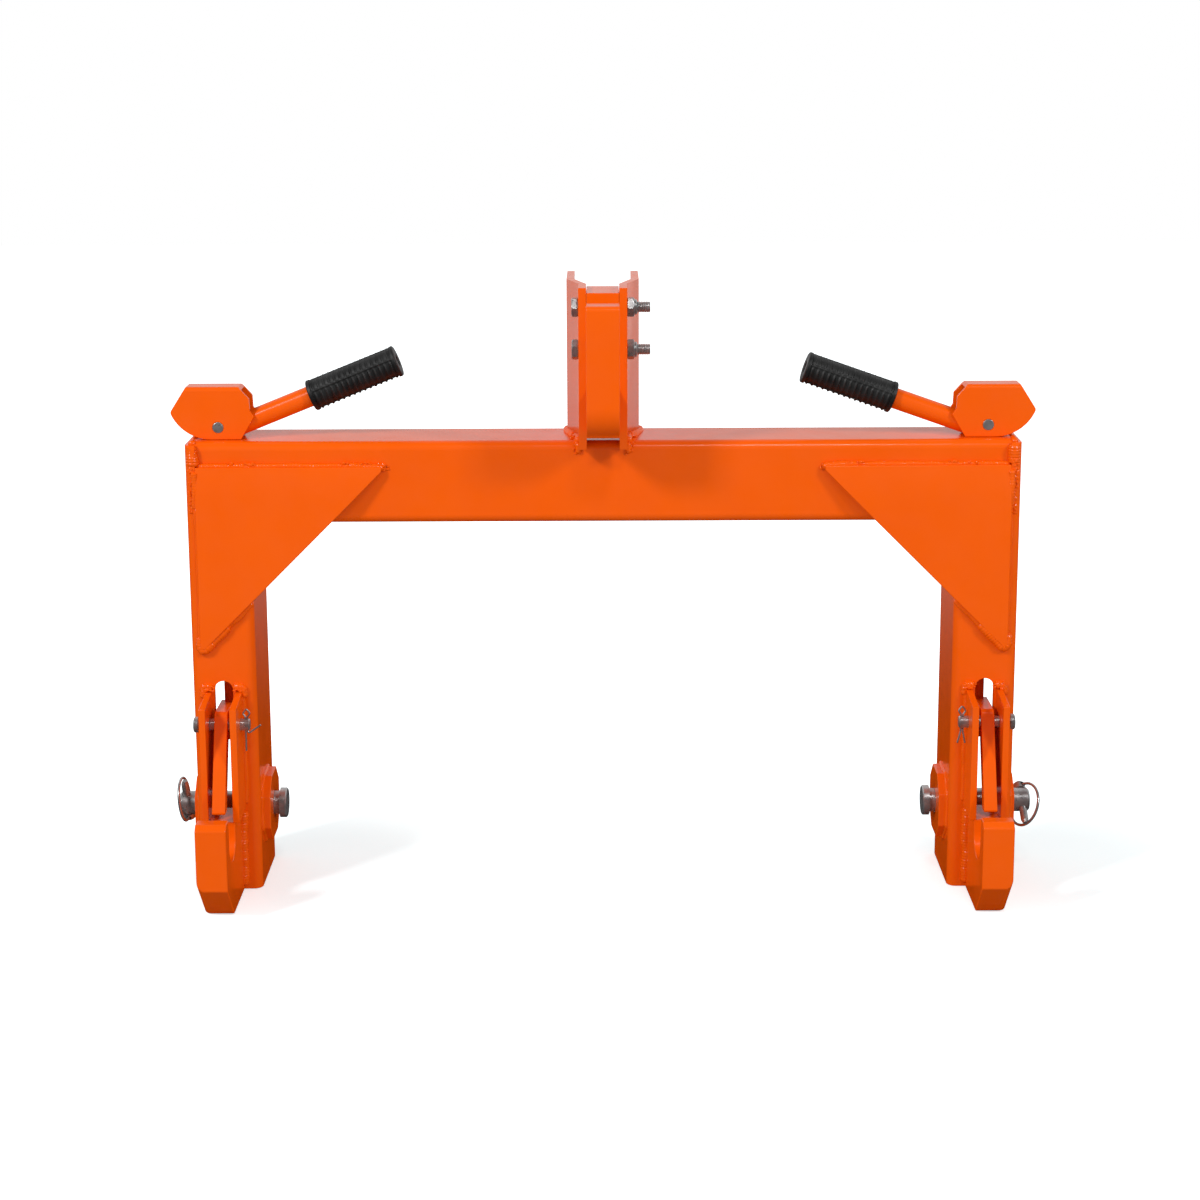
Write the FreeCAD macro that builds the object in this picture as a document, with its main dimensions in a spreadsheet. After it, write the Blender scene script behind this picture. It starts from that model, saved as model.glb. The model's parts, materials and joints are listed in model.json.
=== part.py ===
"""Three point quick hitch: a welded arch with two latching lower hooks and a bolted top hook.

Frame: millimetres, +Z up, X to the right, -Y towards the implement, +Y towards the tractor.
The origin is at the bottom centre of the whole hitch, on the ground the hooks and legs stand on.
"""
import FreeCAD, Part
import Sketcher
import math
import os
import re

from FreeCAD import Placement, Rotation, Vector

X_AXIS = Vector(1, 0, 0)
Y_AXIS = Vector(0, 1, 0)
Z_AXIS = Vector(0, 0, 1)

# ---------------------------------------------------------------- driving dimensions
# Every size that can be set by itself, in millimetres or degrees.
SIZES = {
    # Overall layout
    "hook_spacing": 700.0,         # between the centres of the lower hooks, category 1
    "hook_reach": 96.0,            # lower hook tip ahead of the leg's web
    "mast_back": 117.0,            # mast's rear edge behind the beam's front face
    # Crossbeam: square tube
    "beam_size": 75.0,
    "beam_wall": 5.0,
    "beam_corner": 8.0,
    "beam_bottom": 347.0,
    # Legs: channels open to the rear
    "leg_outside": 27.5,           # outer face outside the lower hook's centre
    "leg_width": 58.0,
    "leg_behind": 6.0,             # flanges' rear edges behind the beam's rear face
    "plate_wall": 6.0,
    "leg_corner": 8.0,
    "leg_top_corner": 5.0,
    "leg_drop": 2.0,               # top of the outer flange below the beam's top
    "web_gap": 2.0,                # web's top edge below the gusset's bend
    "slot_width": 17.0,
    "slot_bottom": 76.0,
    "slot_top": 201.0,
    # Gussets: bent triangular plates
    "gusset_wall": 6.0,
    "gusset_inset": 9.5,           # outer edge in from the leg's outer face
    "gusset_run": 168.0,
    "gusset_drop": 168.0,
    "gusset_below": 22.0,          # top edge below the beam's top
    "gusset_strip": 32.0,          # height of the strip that is bent back to the beam
    "gusset_edge": 4.0,            # blunt ends of the triangle
    # Lower hooks
    "hook_wall": 28.0,
    "hook_shelf": 79.5,            # height of the part behind the throat
    "hook_tip": 95.0,
    "tip_wall": 17.0,
    "throat_width": 37.0,          # for the bushing on the implement's lower pin
    "throat_seat": 69.0,           # height of the seat's centre
    "hook_toe": 33.5,              # chamfer under the tip
    "hook_bevel": 5.0,
    "hook_round": 7.0,
    # Latch ears, pin and plate
    "latch_inset": 1.0,            # latch, rod and cam inward of the hook's centre
    "ear_gap": 22.0,
    "ear_wall": 6.0,
    "ear_reach": 42.0,
    "ear_back_top": 191.0,
    "ear_front_top": 186.0,
    "pivot_ahead": 16.0,
    "pivot_height": 164.5,
    "latch_pin_size": 11.0,
    "latch_pin_length": 47.0,
    "latch_head_size": 14.5,
    "latch_head_wall": 4.0,
    "latch_pin_shift": 2.0,        # pin's middle inward of the latch's
    "latch_wall": 12.0,
    "latch_rise": 12.5,            # top edge above the pivot
    "latch_foot": 74.0,            # foot below the pivot
    "latch_throw": 39.0,           # foot's front edge ahead of the pivot
    "latch_bar": 12.5,             # depth of the locking arm
    "latch_shoulder": 34.0,        # level top edge behind the pivot
    "arm_drop": 17.0,              # link pin below the pivot
    "link_pin_size": 8.0,
    "link_slot_play": 0.6,
    "cotter_wire": 1.7,
    # Lift rods
    "rod_behind": 33.0,            # rod's axis behind the leg's web
    "rod_size": 9.5,
    "rod_hole": 12.0,
    "rod_eye_size": 19.0,
    "rod_eye_wall": 11.0,
    "yoke_wall": 2.5,
    "yoke_depth": 16.0,
    "yoke_top": 171.0,
    "yoke_play": 0.5,
    # Cam handles
    "cam_pin_size": 10.0,
    "cam_pin_rise": 11.3,          # cam pin above the beam's top
    "cam_flat": 11.0,              # cam's flat below its pin
    "cam_width": 26.0,
    "cam_wall": 3.0,
    "cam_height": 37.0,            # top of the cam above its pin
    "cam_nose": 43.0,
    "cam_radius": 39.0,
    "cam_nose_rise": 14.0,
    "tube_play": 0.5,              # each side, between the cover's cheeks
    "tube_wall": 2.5,
    "tube_start": 18.0,
    "tube_end": 170.0,
    "tube_below": 7.0,             # tube's axis below the pin
    "rise_left": 22.0,
    "rise_right": 19.5,
    "grip_start": 90.5,
    "grip_length": 85.5,
    "grip_size": 26.6,
    "grip_rib_size": 29.0,
    "grip_rib_wall": 2.6,          # at a rib's root
    "grip_rib_count": 14.0,
    "grip_collar": 3.5,            # plain collar at each end
    "grip_end_wall": 3.5,
    "grip_hole": 10.0,
    # Hitch pins on the tractor side
    "hitch_pin_size": 22.0,
    "hitch_pin_height": 69.5,
    "hitch_pin_behind": 43.0,
    "hitch_head_size": 28.0,
    "hitch_head_wall": 6.5,
    "hitch_pin_gap": 5.5,          # shank showing between boss and head
    "hitch_pin_end": 18.5,         # shank past the outer boss
    "boss_wall": 8.0,
    "outer_boss_wall": 4.5,
    "boss_size": 62.0,
    "boss_cut": 16.0,
    "linch_size": 7.0,
    "linch_from_end": 6.5,
    "linch_above": 20.0,
    "linch_below": 28.0,
    "linch_head_size": 11.5,
    "ring_radius": 20.0,
    "ring_wire": 2.7,
    "ring_pivot": 15.2,            # ring's hinge above the hitch pin's axis
    "ring_tilt": 7.5,
    "linch_turn_left": -155.0,
    "linch_turn_right": -58.0,
    "ring_yaw_left": 0.0,
    "ring_yaw_right": 31.0,
    # Mast and top hook
    "mast_wall": 7.0,
    "mast_top": 563.0,
    "mast_front": 20.0,            # ahead of the beam's front face
    "mast_lip": 4.0,               # front lip below the beam's top
    "mast_rear_gap": 52.0,
    "mast_rear_run": 65.0,
    "mast_bend_run": 38.0,
    "top_pin_size": 19.5,
    "top_pin_height": 520.0,
    "top_pin_from_back": 22.0,
    "bolt_size": 10.0,
    "bolt_across": 16.0,
    "bolt_head_wall": 6.2,
    "bolt_length": 64.0,
    "nut_wall": 9.0,
    "bolt_ahead": 3.0,             # bolts ahead of the beam's front face
    "bolt_top": 544.0,
    "bolt_pitch": 19.0,
    "bolt_hole_count": 5.0,
    "top_hook_wall": 29.0,
    "top_hook_play": 0.2,          # each side, between the mast plates
    "top_hook_back": 34.0,         # behind the beam's front face
    "top_hook_body": 54.0,
    "top_throat": 33.0,
    "top_tip": 23.0,
    "top_hook_top": 558.5,
    "top_tip_top": 553.5,
    "top_hook_lift": 11.5,         # hook's bottom above the beam's top
    "top_seat": 478.0,             # height of the seat's centre
    "top_hook_round": 31.0,
    # Clearances
    "running_fit": 0.05,           # radial, pins in their bores
    "loose_fit": 0.4,              # radial, bolts and guide holes
}

doc = FreeCAD.newDocument("quick_hitch")
sheet = doc.addObject("Spreadsheet::Sheet", "Sizes")
for row, (alias, number) in enumerate(SIZES.items(), start=1):
    sheet.set(f"A{row}", alias)
    sheet.set(f"B{row}", str(number))
    sheet.setAlias(f"B{row}", alias)
doc.recompute()

subparts = []


# ---------------------------------------------------------------- working with the sheet
def bound(expression):
    """The expression with each size's name turned into its cell."""
    def cell(match):
        word = match.group(0)
        return f"Sizes.{word}" if word in SIZES else word
    return re.sub(r"[a-z]\w*", cell, expression)


def number(expression):
    """The expression's present value."""
    return float(sheet.evalExpression(bound(expression)))


def bind(thing, prop, expression):
    thing.setExpression(prop, bound(expression))


# Planes that many pieces share, as expressions.
WEB = "((hook_reach - plate_wall - mast_back) / 2)"      # front face of the legs' webs
BEAM = f"({WEB} + plate_wall)"                           # front face of the beam
BACK = f"({BEAM} + beam_size)"                           # rear face of the beam
LEG_BACK = f"({BACK} + leg_behind)"                      # rear edges of the legs' flanges
BEAM_TOP = "(beam_bottom + beam_size)"
LEG_TOP = f"({BEAM_TOP} - leg_drop)"
GUSSET_BEND = f"({BEAM_TOP} - gusset_below - gusset_strip)"
HOOK = "(hook_spacing / 2)"                              # middles of the lower hooks
OUTER = f"({HOOK} + leg_outside)"                        # legs' outer faces
INNER = f"({OUTER} - leg_width)"                         # legs' inner faces
PIVOT = f"({WEB} - pivot_ahead)"
ROD = f"({WEB} + rod_behind)"
LATCH = f"({HOOK} - latch_inset)"
CAM_PIN = f"({BEAM_TOP} + cam_pin_rise)"
TUBE = "(cam_width - 2 * cam_wall - 2 * tube_play)"      # handle tube's outside
HITCH_PIN = f"({WEB} + hitch_pin_behind)"
SIDES = {"left": -1, "right": 1}


# ---------------------------------------------------------------- building helpers
def place(thing, x="0", y="0", z="0", axis=None, turn="0"):
    """Puts a piece at a point, turned about an axis."""
    thing.Placement = Placement(Vector(0, 0, 0), Rotation(axis or Vector(0, 0, 1), number(turn)))
    if axis:
        bind(thing, ".Placement.Rotation.Angle", turn)
    bind(thing, ".Placement.Base.x", x)
    bind(thing, ".Placement.Base.y", y)
    bind(thing, ".Placement.Base.z", z)


def subpart(kind, label):
    made = doc.addObject(kind, label)
    made.Label = label
    subparts.append(made)
    return made


def new_body(label):
    return subpart("PartDesign::Body", label)


def sketch_on(body, plane, shift="0"):
    """A sketch on one of the body's own origin planes, moved along its normal."""
    made = body.newObject("Sketcher::SketchObject", f"{body.Name}_sketch")
    support = [item for item in body.Origin.OriginFeatures if item.Role == plane]
    made.AttachmentSupport = [(support[0], "")]
    made.MapMode = "FlatFace"
    bind(made, ".AttachmentOffset.Base.z", shift)
    return made


def pin_point(sketch, edge, point, x, y):
    """Ties a point of the sketch to two sizes."""
    for kind, size in (("DistanceX", x), ("DistanceY", y)):
        index = sketch.addConstraint(Sketcher.Constraint(kind, -1, 1, edge, point, number(size)))
        sketch.setExpression(f"Constraints[{index}]", bound(size))


def outline(sketch, corners, arcs=None):
    """A closed outline through the corners.

    Edges are straight, except those in arcs, which gives an arc's radius by the corner it
    starts at. Its centre is to the left of the way along the outline, or to the right if
    the radius is negative.
    """
    arcs = arcs or {}
    spots = [Vector(number(x), number(y), 0) for x, y in corners]
    first = sketch.GeometryCount
    ends = []
    for index, start in enumerate(spots):
        end = spots[(index + 1) % len(spots)]
        if index not in arcs:
            sketch.addGeometry(Part.LineSegment(start, end), False)
            ends.append((1, 2))
            continue
        radius = number(arcs[index])
        chord = end - start
        side = Vector(-chord.y, chord.x, 0).normalize() * math.copysign(1, radius)
        centre = (start + end) / 2 + side * math.sqrt(radius ** 2 - chord.Length ** 2 / 4)
        angles = [math.atan2(spot.y - centre.y, spot.x - centre.x) for spot in (start, end)]
        ends.append((1, 2) if radius > 0 else (2, 1))
        if radius < 0:
            angles.reverse()
        rim = Part.Circle(centre, Vector(0, 0, 1), abs(radius))
        sketch.addGeometry(Part.ArcOfCircle(rim, *angles), False)
    for index, (x, y) in enumerate(corners):
        edge = first + index
        following = (index + 1) % len(corners)
        sketch.addConstraint(Sketcher.Constraint("Coincident", edge, ends[index][1],
                                                 first + following, ends[following][0]))
        pin_point(sketch, edge, ends[index][0], x, y)
    for index, radius in arcs.items():
        made = Sketcher.Constraint("Radius", first + index, abs(number(radius)))
        sketch.setExpression(f"Constraints[{sketch.addConstraint(made)}]", bound(f"abs({radius})"))


def circle(sketch, x, y, size):
    """A circle of the given diameter."""
    centre = Vector(number(x), number(y), 0)
    edge = sketch.addGeometry(Part.Circle(centre, Vector(0, 0, 1), number(size) / 2), False)
    pin_point(sketch, edge, 3, x, y)
    index = sketch.addConstraint(Sketcher.Constraint("Diameter", edge, number(size)))
    sketch.setExpression(f"Constraints[{index}]", bound(size))


def pad(body, sketch, length, middle=False, backwards=False):
    made = body.newObject("PartDesign::Pad", f"{body.Name}_pad")
    made.Profile = sketch
    made.Midplane = middle
    made.Reversed = backwards
    bind(made, "Length", length)
    sketch.Visibility = False
    return made


def pocket(body, sketch, length=None, backwards=False):
    """Cuts through everything both ways, or to a length along the sketch's normal."""
    made = body.newObject("PartDesign::Pocket", f"{body.Name}_pocket")
    made.Profile = sketch
    if length is None:
        made.Type = "ThroughAll"
        made.Midplane = True
    else:
        made.Reversed = not backwards
        bind(made, "Length", length)
    sketch.Visibility = False
    return made


def revolve(body, sketch, axis="H_Axis"):
    made = body.newObject("PartDesign::Revolution", f"{body.Name}_turned")
    made.Profile = sketch
    made.ReferenceAxis = (sketch, [axis])
    made.Angle = 360
    sketch.Visibility = False
    return made


def plate(body, plane, corners, start, length):
    """A flat plate: an outline on a plane, from a start along the plane's normal."""
    sketch = sketch_on(body, plane, start)
    outline(sketch, corners)
    return pad(body, sketch, length)


def cut(body, plane, corners, start="0", length=None):
    sketch = sketch_on(body, plane, start)
    outline(sketch, corners)
    return pocket(body, sketch, length)


def bore(body, plane, x, y, size, start="0", length=None):
    sketch = sketch_on(body, plane, start)
    circle(sketch, x, y, size)
    return pocket(body, sketch, length)


def edges_at(body, spots, along):
    """Names of the straight edges along an axis that pass through the given points."""
    doc.recompute()
    shape = body.Tip.Shape
    names = []
    for spot in spots:
        point = Part.Vertex(Vector(*[number(c) for c in spot]))
        for index, edge in enumerate(shape.Edges, start=1):
            if not isinstance(edge.Curve, Part.Line):
                continue
            if abs(abs(edge.Curve.Direction.dot(along)) - 1) > 1e-6:
                continue
            if edge.distToShape(point)[0] < 0.01:
                names.append(f"Edge{index}")
    return names


def dress(body, kind, spots, along, size):
    """Rounds or bevels the straight edges through the given points."""
    base = body.Tip
    names = edges_at(body, spots, along)
    made = body.newObject(f"PartDesign::{kind}", f"{body.Name}_{kind.lower()}")
    made.Base = (base, names)
    bind(made, "Radius" if kind == "Fillet" else "Size", size)
    return made


def mirrored(side, expression):
    """The expression on the left or right side of the hitch."""
    return f"({SIDES[side]} * ({expression}))"


# ---------------------------------------------------------------- welded frame
def crossbeam():
    body = new_body("crossbeam")
    sketch = sketch_on(body, "YZ_Plane")
    outline(sketch, [(BEAM, "beam_bottom"), (BACK, "beam_bottom"), (BACK, BEAM_TOP), (BEAM, BEAM_TOP)])
    near, far = f"{BEAM} + beam_wall", f"{BACK} - beam_wall"
    low, high = "beam_bottom + beam_wall", f"{BEAM_TOP} - beam_wall"
    outline(sketch, [(near, low), (far, low), (far, high), (near, high)])
    pad(body, sketch, f"2 * ({OUTER} - plate_wall)", middle=True)
    outside = [("0", y, z) for y in (BEAM, BACK) for z in ("beam_bottom", BEAM_TOP)]
    inside = [("0", y, z) for y in (near, far) for z in (low, high)]
    dress(body, "Fillet", outside, X_AXIS, "beam_corner")
    dress(body, "Fillet", inside, X_AXIS, "beam_corner - beam_wall")
    sketch = sketch_on(body, "XY_Plane")
    for side in SIDES:
        circle(sketch, mirrored(side, LATCH), ROD, "rod_hole")
    pocket(body, sketch)


def leg(side):
    """Channel open to the rear: its outer flange runs up past the beam's end and caps it."""
    body = new_body(f"leg_{side}")
    floor_plan = [(OUTER, WEB), (OUTER, LEG_BACK), (f"{OUTER} - plate_wall", LEG_BACK),
                  (f"{OUTER} - plate_wall", f"{WEB} + plate_wall"),
                  (f"{INNER} + plate_wall", f"{WEB} + plate_wall"),
                  (f"{INNER} + plate_wall", LEG_BACK), (INNER, LEG_BACK), (INNER, WEB)]
    plate(body, "XY_Plane", [(mirrored(side, x), y) for x, y in floor_plan], "0", LEG_TOP)
    bends = [(mirrored(side, x), WEB, "beam_bottom / 2") for x in (OUTER, INNER)]
    dress(body, "Fillet", bends, Z_AXIS, "leg_corner")
    inner_bends = [(mirrored(side, x), f"{WEB} + plate_wall", "beam_bottom / 2")
                   for x in (f"{OUTER} - plate_wall", f"{INNER} + plate_wall")]
    dress(body, "Fillet", inner_bends, Z_AXIS, "leg_corner - plate_wall")
    past = mirrored(side, f"{INNER} - plate_wall")
    above = f"{BEAM_TOP} + plate_wall"
    lip = mirrored(side, f"{OUTER} - gusset_inset")
    web_top = f"{GUSSET_BEND} - web_gap"
    cut(body, "XZ_Plane", [(lip, web_top), (past, web_top), (past, above), (lip, above)])
    beam_end = mirrored(side, f"{OUTER} - plate_wall")
    cut(body, "XZ_Plane",
        [(beam_end, "beam_bottom"), (past, "beam_bottom"), (past, above), (beam_end, above)],
        f"-({LEG_BACK} + plate_wall)", f"{LEG_BACK} + plate_wall - {BEAM}")
    for face, inward in ((WEB, 1), (LEG_BACK, -1)):
        before, after = f"{face} - ({inward})", f"{face} + ({inward}) * leg_top_corner"
        low = f"{LEG_TOP} - leg_top_corner"
        sketch = sketch_on(body, "YZ_Plane")
        outline(sketch, [(before, low), (face, low), (after, LEG_TOP), (after, above), (before, above)],
                {1: f"({-inward}) * leg_top_corner"})
        pocket(body, sketch)
    low, high = "slot_bottom", "slot_top - slot_width / 2"
    near, far = [mirrored(side, f"{LATCH} {sign} slot_width / 2") for sign in "-+"]
    cut(body, "XZ_Plane", [(near, low), (far, low), (far, high), (near, high)],
        f"-({WEB} + 2 * plate_wall)", "3 * plate_wall")
    bore(body, "XZ_Plane", mirrored(side, LATCH), high, "slot_width",
         f"-({WEB} + 2 * plate_wall)", "3 * plate_wall")
    bore(body, "YZ_Plane", HITCH_PIN, "hitch_pin_height", "hitch_pin_size + 2 * running_fit")


def gusset(side):
    """Triangular plate on the web's front, its top strip bent back to the beam's face."""
    body = new_body(f"gusset_{side}")
    top = f"{BEAM_TOP} - gusset_below"
    bend = GUSSET_BEND
    foot = f"{top} - gusset_drop"
    profile = [(f"{WEB} - gusset_wall", foot), (WEB, foot), (WEB, bend), (BEAM, top),
               (f"{BEAM} - gusset_wall", top), (f"{WEB} - gusset_wall", bend)]
    outer = f"{OUTER} - gusset_inset"
    inner = f"{outer} - gusset_run"
    start = inner if side == "right" else f"-({outer})"
    plate(body, "YZ_Plane", profile, start, "gusset_run")
    near = mirrored(side, inner)
    cut(body, "XZ_Plane", [(near, f"{top} - gusset_edge"),
                           (mirrored(side, f"{outer} - gusset_edge"), foot),
                           (near, f"{foot} - plate_wall"),
                           (mirrored(side, f"{inner} - plate_wall"), foot)])


def pin_boss(side, place_name, outward):
    """Eight-sided doubler plate on a leg's flange, bored for the hitch pin."""
    body = new_body(f"pin_boss_{place_name}_{side}")
    half = "boss_size / 2"
    straight = "boss_size / 2 - boss_cut"
    ring = [(half, straight), (straight, half), (f"-({straight})", half), (f"-({half})", straight),
            (f"-({half})", f"-({straight})"), (f"-({straight})", f"-({half})"),
            (straight, f"-({half})"), (half, f"-({straight})")]
    sketch = sketch_on(body, "YZ_Plane")
    outline(sketch, ring)
    circle(sketch, "0", "0", "hitch_pin_size + 2 * running_fit")
    face, wall = (OUTER, "outer_boss_wall") if outward > 0 else (INNER, "boss_wall")
    pad(body, sketch, wall, backwards=(SIDES[side] * outward < 0))
    place(body, mirrored(side, face), HITCH_PIN, "hitch_pin_height")


def lower_hook(side):
    """Upward J plate welded to the web, with a round seat for the implement's pin bushing."""
    body = new_body(f"lower_hook_{side}")
    tip_front = f"{WEB} - hook_reach"
    tip_back = f"{tip_front} + tip_wall"
    shelf_front = f"{tip_back} + throat_width"
    profile = [(WEB, "0"), (f"{tip_front} + hook_toe", "0"), (tip_front, "hook_toe"),
               (tip_front, "hook_tip"), (tip_back, "hook_tip"), (tip_back, "throat_seat"),
               (shelf_front, "throat_seat"), (shelf_front, "hook_shelf"), (WEB, "hook_shelf")]
    sketch = sketch_on(body, "YZ_Plane")
    outline(sketch, profile)
    pad(body, sketch, "hook_wall", middle=True)
    bore(body, "YZ_Plane", f"{tip_back} + throat_width / 2", "throat_seat", "throat_width")
    dress(body, "Chamfer", [("0", tip_front, "hook_tip")], X_AXIS, "hook_bevel")
    edge = mirrored(side, "hook_wall / 2")
    dress(body, "Fillet", [(edge, f"{tip_front} + hook_toe / 2", "hook_toe / 2")],
          Vector(0, 1, -1).normalize(), "hook_round")
    place(body, mirrored(side, HOOK))


def latch_ear(side, place_name, outward):
    """Plate that carries the latch pin, standing on the hook's shelf."""
    body = new_body(f"latch_ear_{place_name}_{side}")
    front = f"{WEB} - ear_reach"
    profile = [(WEB, "hook_shelf"), (WEB, "ear_back_top"), (front, "ear_front_top"), (front, "hook_shelf")]
    middle = f"{LATCH} + ({outward}) * (ear_gap + ear_wall) / 2"
    start = f"{mirrored(side, middle)} - ear_wall / 2"
    plate(body, "YZ_Plane", profile, start, "ear_wall")
    bore(body, "YZ_Plane", PIVOT, "pivot_height", "latch_pin_size + 2 * running_fit")


def mast_plate(side):
    """Upright joggled in plan: close to the top hook in front, wide at the top link behind."""
    body = new_body(f"mast_plate_{side}")
    narrow = "top_hook_wall / 2 + top_hook_play"
    wide = "mast_rear_gap / 2"
    front = f"{BEAM} - mast_front"
    back = f"{BEAM} + mast_back"
    bend_back = f"{back} - mast_rear_run"
    bend_front = f"{bend_back} - mast_bend_run"
    inside = [(narrow, front), (narrow, bend_front), (wide, bend_back), (wide, back)]
    plan = inside + [(f"{x} + mast_wall", y) for x, y in reversed(inside)]
    foot = f"{BEAM_TOP} - mast_lip"
    plate(body, "XY_Plane", [(mirrored(side, x), y) for x, y in plan], foot, f"mast_top - ({foot})")
    cut(body, "YZ_Plane", [(BEAM, foot), (f"{back} + mast_wall", foot),
                           (f"{back} + mast_wall", BEAM_TOP), (BEAM, BEAM_TOP)])
    sketch = sketch_on(body, "YZ_Plane")
    for index in range(int(SIZES["bolt_hole_count"])):
        circle(sketch, f"{BEAM} - bolt_ahead", f"bolt_top - {index} * bolt_pitch",
               "bolt_size + 2 * loose_fit")
    circle(sketch, f"{back} - top_pin_from_back", "top_pin_height", "top_pin_size")
    pocket(body, sketch)


def top_hook():
    """Upward J plate bolted between the mast plates."""
    body = new_body("top_hook")
    back = f"{BEAM} + top_hook_back"
    throat_back = f"{back} - top_hook_body"
    throat_front = f"{throat_back} - top_throat"
    tip_front = f"{throat_front} - top_tip"
    foot = f"{BEAM_TOP} + top_hook_lift"
    profile = [(back, foot), (back, "top_hook_top"), (throat_back, "top_hook_top"),
               (throat_back, "top_seat"), (throat_front, "top_seat"), (throat_front, "top_tip_top"),
               (tip_front, "top_tip_top"), (tip_front, foot)]
    sketch = sketch_on(body, "YZ_Plane")
    outline(sketch, profile)
    pad(body, sketch, "top_hook_wall", middle=True)
    bore(body, "YZ_Plane", f"{throat_front} + top_throat / 2", "top_seat", "top_throat")
    dress(body, "Fillet", [("0", tip_front, foot)], X_AXIS, "top_hook_round")
    dress(body, "Fillet", [("0", back, foot)], X_AXIS, "top_hook_round / 4")
    dress(body, "Fillet", [("0", tip_front, "top_tip_top")], X_AXIS, "top_tip / 5")
    sketch = sketch_on(body, "YZ_Plane")
    for index in (0, 2):
        circle(sketch, f"{BEAM} - bolt_ahead", f"bolt_top - {index} * bolt_pitch",
               "bolt_size + 2 * loose_fit")
    pocket(body, sketch)


# ---------------------------------------------------------------- fasteners
def turned_along_x(label, profile):
    """A body turned about its own X axis from (along, radius) corners."""
    body = new_body(label)
    sketch = sketch_on(body, "XZ_Plane")
    outline(sketch, profile)
    revolve(body, sketch)
    return body


def hexagon(label, start, wall):
    """A hexagonal prism along X: a bolt head or a nut blank."""
    made = doc.addObject("Part::Prism", label)
    made.Polygon = 6
    bind(made, "Circumradius", "bolt_across / 2 / cos(30)")
    bind(made, "Height", wall)
    place(made, start, "0", "0", Y_AXIS, "90")
    return made


def rod_along_x(label, start, length, size):
    made = doc.addObject("Part::Cylinder", label)
    bind(made, "Radius", f"({size}) / 2")
    bind(made, "Height", length)
    place(made, start, "0", "0", Y_AXIS, "90")
    return made


def bolt_set(label, make_one):
    """The two bolts, or their two nuts, as one node of separate solids."""
    copies = []
    for index in (0, 2):
        one = make_one(f"{label}_{index}")
        place(one, "0", f"{BEAM} - bolt_ahead", f"bolt_top - {index} * bolt_pitch")
        copies.append(one)
    group = subpart("Part::Compound", label)
    group.Links = copies


MAST_FACE = "(top_hook_wall / 2 + top_hook_play + mast_wall)"


def one_bolt(name):
    head = hexagon(f"{name}_head", f"-{MAST_FACE} - bolt_head_wall", "bolt_head_wall")
    shank = rod_along_x(f"{name}_shank", f"-{MAST_FACE}", "bolt_length", "bolt_size")
    made = doc.addObject("Part::MultiFuse", name)
    made.Shapes = [head, shank]
    return made


def one_nut(name):
    """Lock nut: a hexagon with a round collar for its insert."""
    blank = hexagon(f"{name}_blank", MAST_FACE, "nut_wall * 0.7")
    collar = rod_along_x(f"{name}_collar", MAST_FACE, "nut_wall", "bolt_across * 0.86")
    body = doc.addObject("Part::MultiFuse", f"{name}_body")
    body.Shapes = [blank, collar]
    hole = rod_along_x(f"{name}_hole", f"{MAST_FACE} - 1", "nut_wall + 2", "bolt_size + 2 * running_fit")
    made = doc.addObject("Part::Cut", name)
    made.Base = body
    made.Tool = hole
    return made


PIN_START = "(latch_pin_length / 2)"


def latch_pin(side):
    """Clevis pin: head outside, cross hole for the cotter inside."""
    sign = SIDES[side]
    bevel = "latch_pin_size / 12"
    radius = "latch_pin_size / 2"
    outer = [(PIN_START, "0"), (f"{PIN_START} + latch_head_wall", "0"),
             (f"{PIN_START} + latch_head_wall", f"latch_head_size / 2 - {bevel}"),
             (f"{PIN_START} + latch_head_wall - {bevel}", "latch_head_size / 2"),
             (PIN_START, "latch_head_size / 2"), (PIN_START, radius),
             (f"-{PIN_START} + {bevel}", radius), (f"-{PIN_START}", f"{radius} - {bevel}"),
             (f"-{PIN_START}", "0")]
    corners = [(f"{sign} * ({x})", y) for x, y in outer]
    body = turned_along_x(f"latch_pin_{side}", corners)
    bore(body, "XY_Plane", mirrored(side, f"-{PIN_START} + 3.2"), "0", "2 * cotter_wire + 0.6")
    place(body, mirrored(side, f"{LATCH} - latch_pin_shift"), PIVOT, "pivot_height")


def wire_along(points, bend, size):
    """A round wire through the points, with a bend of the given radius at each corner."""
    edges = []
    last = points[0]
    for here, following in zip(points[1:-1], points[2:]):
        before = (last - here).normalize()
        after = (following - here).normalize()
        half = before.getAngle(after) / 2
        reach = bend / math.tan(half)
        middle = here + (before + after).normalize() * (bend / math.sin(half) - bend)
        start, end = here + before * reach, here + after * reach
        edges.append(Part.LineSegment(last, start).toShape())
        edges.append(Part.Arc(start, middle, end).toShape())
        last = end
    edges.append(Part.LineSegment(last, points[-1]).toShape())
    path = Part.Wire(edges)
    heading = edges[0].tangentAt(edges[0].FirstParameter)
    profile = Part.Wire(Part.makeCircle(size / 2, points[0], heading))
    return path.makePipeShell([profile], True, True)


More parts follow.
